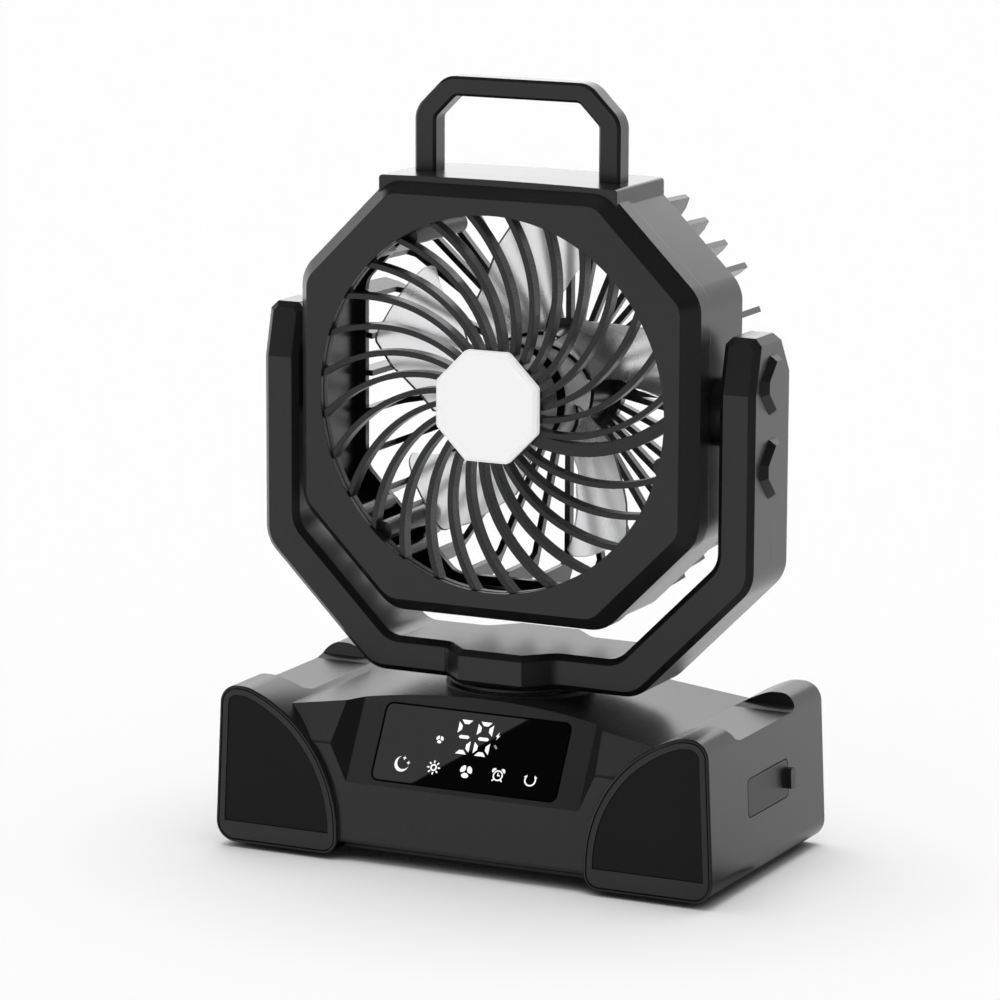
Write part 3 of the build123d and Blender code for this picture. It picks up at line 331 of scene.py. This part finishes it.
# Painted shade: matte black band along the screen's edge, standing for the shadowed gap round the screen
PAINTED_GAP_SHADE = moulded("gap_shade_matte", (0.002, 0.002, 0.002), 0.10, 0.90, 0.05, 1500.0, 0.00002, 0.0)
WRAP = polished("cell_wrap", (0.10, 0.28, 0.45), 0.25)
SCREEN = polished("screen_black", (0.0015, 0.0015, 0.0017), 0.01)
ROTOR = rotor_look()
DIFFUSER = frosted()
STEEL = metal("screw_steel", (0.55, 0.55, 0.56), 0.32, 900.0)
MOTOR = metal("motor_can", (0.32, 0.32, 0.33), 0.38, 500.0)
INK = glowing("display_ink", (0.95, 0.96, 0.97), 0.75)
DIM_INK = glowing("display_ink_dim", (0.40, 0.40, 0.42), 0.35)

NODE_LOOKS = {
    "display_panel": SCREEN, "front_guard": GUARD, "rear_guard": GUARD, "fan_motor": GUARD,
    "lamp_diffuser": DIFFUSER, "impeller": ROTOR, "rubber_feet": RUBBER, "port_flap": FLAP,
    "battery_cells": WRAP, "battery_holder": GUARD, "main_board": BOARD,
    "port_board": BOARD, "display_board": BOARD, "led_board": BOARD,
    "usb_c_socket": STEEL, "usb_a_socket": STEEL, "motor_shaft": STEEL,
    "impeller_nut": STEEL, "spindle_ring": STEEL, "oscillation_motor": MOTOR,
    "spindle_bush": ACETAL, "thrust_washer": ACETAL, "drive_pinion": ACETAL, "turntable_gear": ACETAL,
}
GROUP_LOOKS = (("_trim_", TRIM), ("plug_", TRIM), ("_pad_", PAD), ("screws", STEEL),
               ("tilt_nut", STEEL), ("tilt_bush", ACETAL))
for name, piece in frame["nodes"].items():
    grouped = [look for part_of_name, look in GROUP_LOOKS if part_of_name in name]
    piece.data.materials.clear()
    piece.data.materials.append(NODE_LOOKS.get(name) or (grouped + [CHARCOAL])[0])


# Display marks, and a painted shade band along the screen's edge

def add_object(name, data):
    """New object in the scene."""
    made = bpy.data.objects.new(name, data)
    bpy.context.scene.collection.objects.link(made)
    return made


def on_display(u, v, w):
    """Point across, up and out from the display, in millimetres."""
    return DISPLAY_FOOT + (Vector((1, 0, 0)) * u + DISPLAY_UP * v + DISPLAY_OUT * w) * MM


def plate(mesh, outline):
    """One thin plate on the display with the given outline in display millimetres."""
    low = [mesh.verts.new(on_display(u, v, INK_LIFT)) for u, v in outline]
    high = [mesh.verts.new(on_display(u, v, INK_LIFT + INK_THICK)) for u, v in outline]
    mesh.faces.new(high)
    mesh.faces.new(list(reversed(low)))
    count = len(outline)
    for i in range(count):
        j = (i + 1) % count
        mesh.faces.new((low[i], low[j], high[j], high[i]))


def arc(cx, cy, radius, start, end, steps):
    """Points along an arc between two angles in degrees."""
    angles = [math.radians(start + (end - start) * i / steps) for i in range(steps + 1)]
    return [(cx + radius * math.cos(a), cy + radius * math.sin(a)) for a in angles]


def band(mesh, cx, cy, outer, inner, start, end, steps=24):
    """Arc of a ring, cut in convex pieces."""
    for i in range(steps):
        a = start + (end - start) * i / steps
        b = start + (end - start) * (i + 1) / steps
        plate(mesh, arc(cx, cy, outer, a, b, 1) + list(reversed(arc(cx, cy, inner, a, b, 1))))


def bar(mesh, ax, ay, bx, by, width):
    """Straight bar with round ends."""
    lean = math.degrees(math.atan2(by - ay, bx - ax))
    ends = arc(bx, by, width / 2, lean - 90, lean + 90, 6), arc(ax, ay, width / 2, lean + 90, lean + 270, 6)
    plate(mesh, ends[0] + ends[1])


def mark(name, look, slot, *draws):
    """One display mark from drawing functions, each with its place and sizes."""
    mesh = bmesh.new()
    for draw, *values in draws:
        draw(mesh, *values)
    bmesh.ops.recalc_face_normals(mesh, faces=mesh.faces)
    data = bpy.data.meshes.new(name)
    mesh.to_mesh(data)
    mesh.free()
    data.materials.append(look)
    made = add_object(name, data)
    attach(made, "base")


def star(mesh, cx, cy, size):
    """Four-pointed star."""
    for turn in range(0, 360, 90):
        tip = arc(cx, cy, size, turn, turn, 1)[:1]
        waist = arc(cx, cy, size * 0.38, turn - 45, turn + 45, 1)
        plate(mesh, [(cx, cy), waist[0], tip[0], waist[1]])


def moon(mesh, cx, cy):
    """Crescent open to the upper right, with two stars in its mouth."""
    steps = 28
    outer = arc(cx, cy, 3.5, 103, 345.5, steps)
    inner = arc(cx + 0.77, cy + 0.75, 3.1, 120, 328.5, steps)
    for i in range(steps):
        plate(mesh, [outer[i], outer[i + 1], inner[i + 1], inner[i]])
    star(mesh, cx + 0.8, cy + 2.7, 1.0)
    star(mesh, cx + 3.1, cy + 0.8, 1.0)


def sun(mesh, cx, cy):
    """Ring with eight short rays."""
    band(mesh, cx, cy, 1.6, 0.9, 0, 360)
    for i in range(8):
        a = math.radians(45 * i)
        bar(mesh, cx + 2.3 * math.cos(a), cy + 2.3 * math.sin(a),
            cx + 2.85 * math.cos(a), cy + 2.85 * math.sin(a), 0.68)


def rotor(mesh, cx, cy, size):
    """Three broad rounded blades about a small hole."""
    outline = ((-44, 0.30), (-45, 0.80), (-38, 0.95), (-24, 1.0), (0, 1.02), (22, 1.0), (38, 0.94),
               (46, 0.84), (48, 0.60), (40, 0.30), (0, 0.24))
    for turn in (25, 145, 265):
        plate(mesh, [arc(cx, cy, size * reach, turn + off, turn + off, 1)[0] for off, reach in outline])


def clock(mesh, cx, cy):
    """Ring with two hands, two bells and two feet."""
    band(mesh, cx, cy, 2.4, 1.8, 0, 360, 28)
    bar(mesh, cx - 0.1, cy, cx - 0.1, cy + 1.05, 0.5)
    bar(mesh, cx - 0.1, cy, cx + 0.8, cy, 0.5)
    for side in (-1, 1):
        lean = 90 - side * 45
        plate(mesh, arc(cx + side * 1.95, cy + 1.98, 1.2, lean - 90, lean + 90, 10))
        bar(mesh, cx + side * 1.6, cy - 1.75, cx + side * 2.15, cy - 2.3, 0.7)


def swing(mesh, cx, cy):
    """Open ring with an arrowhead at each end."""
    for side in (-1, 1):
        band(mesh, cx, cy, 2.8, 2.15, 270, 270 + side * 112)
        head = ((3.45, 70), (2.75, 39), (2.0, 64))
        plate(mesh, [arc(cx, cy, reach, 90 - side * turn, 90 - side * turn, 1)[0] for reach, turn in head])


def figure(mesh, left, wide, segments):
    """Seven-segment figure of tapered bars with open corners."""
    stroke, gap, tall = FIGURE_STROKE, FIGURE_GAP, FIGURE_TALL
    half, taper, thin = tall / 2, stroke * 0.9, stroke * 0.42
    low = half + FIGURE_MIDDLE_GAP
    shapes = {
        "a": [(gap, tall), (wide - gap, tall), (wide - gap - taper, tall - stroke),
              (gap + taper, tall - stroke)],
        "f": [(0, tall - gap), (stroke, tall - gap - taper), (stroke, low + taper), (0, low)],
        "g": [(gap, half), (gap + thin, half + thin), (wide - gap - thin, half + thin), (wide - gap, half),
              (wide - gap - thin, half - thin), (gap + thin, half - thin)],
    }
    shapes["b"] = [(wide - x, y) for x, y in shapes["f"]]
    shapes["d"], shapes["e"], shapes["c"] = ([(x, tall - y) for x, y in shapes[key]] for key in "afb")
    for key in segments:
        plate(mesh, [(left + x, FIGURE_LOW + y) for x, y in shapes[key]])


def bolt(mesh, cx, cy):
    """Flash of two thin triangles."""
    plate(mesh, [(cx + 0.5, cy + 1.7), (cx - 1.05, cy - 0.35), (cx + 0.1, cy - 0.1)])
    plate(mesh, [(cx - 0.5, cy - 1.7), (cx + 1.05, cy + 0.35), (cx - 0.1, cy + 0.1)])


def tick(mesh, cx, cy):
    """Short slanting bar."""
    across, up = TICK_REACH
    bar(mesh, cx - across, cy + up, cx + across, cy - up, TICK_WIDTH)


def screen_gap_painted_shade(mesh):
    """Narrow black band along the screen's edge: painted shade for the gap round the screen."""
    panel = frame["nodes"]["display_panel"]
    spots = [panel.matrix_world @ corner.co - DISPLAY_FOOT for corner in panel.data.vertices]
    half = max(spot.x for spot in spots) / MM
    rises = [spot.dot(DISPLAY_UP) / MM for spot in spots]
    right, left = half - SCREEN_CORNER, SCREEN_CORNER - half
    bottom, top = min(rises) + SCREEN_CORNER, max(rises) - SCREEN_CORNER

    def loop(radius):
        return (arc(right, top, radius, 0, 90, 8) + arc(left, top, radius, 90, 180, 8)
                + arc(left, bottom, radius, 180, 270, 8) + arc(right, bottom, radius, 270, 360, 8))

    outer, inner = loop(SCREEN_CORNER - SCREEN_SHADE_GAP), loop(SCREEN_CORNER - SCREEN_SHADE_WIDTH)
    for i in range(len(outer)):
        plate(mesh, [outer[i - 1], outer[i], inner[i], inner[i - 1]])


mark("mark_moon", INK, "diffuser", (moon, *MOON))
mark("mark_sun", INK, "diffuser", (sun, *SUN))
mark("mark_fan", INK, "diffuser", (rotor, *FAN, FAN_SIZE))
mark("mark_clock", INK, "diffuser", (clock, *CLOCK))
mark("mark_swing", INK, "diffuser", (swing, *SWING))
mark("mark_fan_small", INK, "diffuser", (rotor, *SMALL_FAN, SMALL_FAN_SIZE))
mark("mark_figures", INK, "diffuser", (figure, *FIRST_FIGURE, "afgcd"), (figure, *SECOND_FIGURE, "abcdefg"))
# Painted shade along the screen's edge, in place of the shadowed gap round it
mark("screen_gap_painted_shade", PAINTED_GAP_SHADE, "screen", (screen_gap_painted_shade,))
mark("mark_bolt", INK, "diffuser", (bolt, *BOLT))
mark("mark_bar", DIM_INK, "diffuser", (tick, *TICK))


# Floor, world, lights and camera

def studio_level(tree, direction):
    """How bright the studio is in a compass direction, as polished faces see it."""
    around = node(tree, "ShaderNodeTexGradient", gradient_type="RADIAL")
    tree.links.new(direction, around.inputs["Vector"])
    return ramp_node(tree, around.outputs["Fac"], STUDIO_COMPASS)


def seen_plainly(tree, path):
    """1 for rays from the camera and through clear plastic, and 0 for all others."""
    return math_node(tree, "MAXIMUM", path.outputs["Is Camera Ray"], path.outputs["Is Transmission Ray"])


def lit_floor(tree, path, openness):
    """White floor that takes shadows, with painted contact shade where the object stands close over it."""
    link = tree.links.new
    contact = ramp_node(tree, openness, CONTACT_SHADE)
    matte = node(tree, "ShaderNodeBsdfDiffuse")
    white = (FLOOR_COLOUR, FLOOR_COLOUR, FLOOR_COLOUR, 1)
    link(mixed(tree, 1.0, white, contact, "MULTIPLY"), matte.inputs["Color"])
    lift = node(tree, "ShaderNodeEmission")
    link(math_node(tree, "MULTIPLY", seen_plainly(tree, path), FLOOR_LIFT), lift.inputs["Strength"])
    link(contact, lift.inputs["Color"])
    lit = node(tree, "ShaderNodeAddShader")
    link(matte.outputs[0], lit.inputs[0])
    link(lift.outputs[0], lit.inputs[1])
    return lit.outputs[0]


def mirrored_floor(tree, openness):
    """The floor as reflections see it: the studio's level, with painted shade under and near the object."""
    link = tree.links.new
    spot = node(tree, "ShaderNodeNewGeometry").outputs["Position"]
    from_centre = node(tree, "ShaderNodeVectorMath", operation="SUBTRACT")
    link(spot, from_centre.inputs[0])
    from_centre.inputs[1].default_value = STUDIO_CENTRE
    away = node(tree, "ShaderNodeVectorMath", operation="LENGTH")
    link(spot, away.inputs[0])
    shade = math_node(tree, "MULTIPLY", ramp_node(tree, openness, MIRROR_SHADE),
                      ramp_node(tree, away.outputs["Value"], MIRROR_NEAR))
    level = studio_level(tree, from_centre.outputs[0])
    glow = node(tree, "ShaderNodeEmission", Strength=STUDIO_PEAK)
    link(mixed(tree, 1.0, level, shade, "MULTIPLY"), glow.inputs["Color"])
    return glow.outputs[0]


def pale_floor():
    """Floor with one look for the camera and the light, and one for reflections."""
    bpy.ops.mesh.primitive_plane_add(size=FLOOR_SIZE)
    floor = bpy.context.object
    floor.name = "floor"
    look, tree, surface = bare_material("floor_white")
    path = node(tree, "ShaderNodeLightPath")
    openness = node(tree, "ShaderNodeAmbientOcclusion", samples=8, Distance=CONTACT_REACH).outputs["AO"]
    plain = lit_floor(tree, path, openness)
    mirrored = mirrored_floor(tree, openness)
    tree.links.new(choose(tree, path.outputs["Is Glossy Ray"], plain, mirrored), surface)
    floor.data.materials.append(look)


def studio_world():
    """White for the camera, shaded by direction for reflections, and an even fill for the rest."""
    world = bpy.data.worlds.new("studio")
    bpy.context.scene.world = world
    world.use_nodes = True
    tree = world.node_tree
    tree.nodes.clear()
    link = tree.links.new
    out = node(tree, "ShaderNodeOutputWorld")
    path = node(tree, "ShaderNodeLightPath")
    direction = node(tree, "ShaderNodeTexCoord").outputs["Generated"]
    split = node(tree, "ShaderNodeSeparateXYZ")
    link(direction, split.inputs[0])
    behind = node(tree, "ShaderNodeClamp")
    link(math_node(tree, "MULTIPLY", split.outputs["Y"], SKY_BACK_SLOPE), behind.inputs["Value"])
    height = math_node(tree, "SUBTRACT", split.outputs["Z"],
                       math_node(tree, "MULTIPLY", behind.outputs[0], SKY_BACK_RISE))
    level = mixed(tree, 1.0, studio_level(tree, direction), ramp_node(tree, height, SKY_TOP), "MULTIPLY")
    mirrored = node(tree, "ShaderNodeBackground", Strength=STUDIO_PEAK)
    link(level, mirrored.inputs["Color"])
    fill = node(tree, "ShaderNodeBackground", Color=(1, 1, 1, 1), Strength=SKY_FILL)
    white = node(tree, "ShaderNodeBackground", Color=(1, 1, 1, 1), Strength=1.0)
    unseen = choose(tree, path.outputs["Is Glossy Ray"], fill.outputs[0], mirrored.outputs[0])
    link(choose(tree, seen_plainly(tree, path), unseen, white.outputs[0]), out.inputs["Surface"])


def soft_sun():
    """Broad light from above that reflections don't see."""
    lamp = bpy.data.lights.new("soft_sun", "SUN")
    lamp.energy = SUN_STRENGTH
    lamp.angle = math.radians(SUN_SPREAD)
    made = add_object("soft_sun", lamp)
    made.rotation_mode = "QUATERNION"
    made.rotation_quaternion = (-SUN_FROM).to_track_quat("-Z", "Y")
    made.visible_glossy = False


def card(name, corners, strength):
    """White card that only reflections see."""
    data = bpy.data.meshes.new(name)
    data.from_pydata([tuple(corner) for corner in corners], [], [(0, 1, 2, 3)])
    made = add_object(name, data)
    look, tree, surface = bare_material(name + "_white")
    glow = node(tree, "ShaderNodeEmission", Strength=strength)
    tree.links.new(glow.outputs[0], surface)
    data.materials.append(look)
    made.visible_camera = False
    made.visible_diffuse = False
    made.visible_transmission = False
    made.visible_shadow = False


def back_card():
    """Upright card that stands behind the object."""
    (left, right), depth, (low, high) = BACK_CARD
    card("back_card", [(left, depth, low), (right, depth, low), (right, depth, high), (left, depth, high)],
         BACK_CARD_STRENGTH)


def screen_card(eye):
    """Card whose slanting edge crosses the screen's reflection."""
    mirror_eye = eye - DISPLAY_OUT * (2 * (eye - DISPLAY_FOOT).dot(DISPLAY_OUT))

    def beyond(u, v):
        spot = on_display(u, v, 0)
        return spot + (spot - mirror_eye).normalized() * SCREEN_CARD_REACH

    first, last = (beyond(*end) for end in SCREEN_CARD_EDGE)
    along = (last - first).normalized()
    away = beyond(*SCREEN_CARD_SIDE) - first
    across = (away - along * away.dot(along)).normalized() * SCREEN_CARD_WIDTH
    first, last = first - along * SCREEN_CARD_SPARE, last + along * SCREEN_CARD_SPARE
    card("screen_card", [first, last, last + across, first + across], SCREEN_CARD_STRENGTH)


def photo_camera():
    """Camera at the photograph's place. Gives its eye point."""
    azimuth, elevation, roll = (math.radians(a) for a in (VIEW_AZIMUTH, VIEW_ELEVATION, VIEW_ROLL))
    back = Vector((math.sin(azimuth) * math.cos(elevation), -math.cos(azimuth) * math.cos(elevation),
                   math.sin(elevation)))
    level = Vector((math.cos(azimuth), math.sin(azimuth), 0))
    plumb = back.cross(level)
    right = level * math.cos(roll) + plumb * math.sin(roll)
    up = plumb * math.cos(roll) - level * math.sin(roll)
    eye = VIEW_CENTRE + right * VIEW_SHIFT[0] + up * VIEW_SHIFT[1] + back * VIEW_DISTANCE
    lens = bpy.data.cameras.new("camera")
    lens.lens = VIEW_LENS
    lens.sensor_width = VIEW_SENSOR
    lens.clip_start, lens.clip_end = VIEW_CLIP
    camera = add_object("camera", lens)
    turn = Matrix((right, up, back)).transposed()
    camera.matrix_world = Matrix.Translation(eye) @ turn.to_4x4()
    bpy.context.scene.camera = camera
    return eye


pale_floor()
studio_world()
soft_sun()
back_card()
screen_card(photo_camera())
bpy.context.scene.view_settings.view_transform = "Standard"
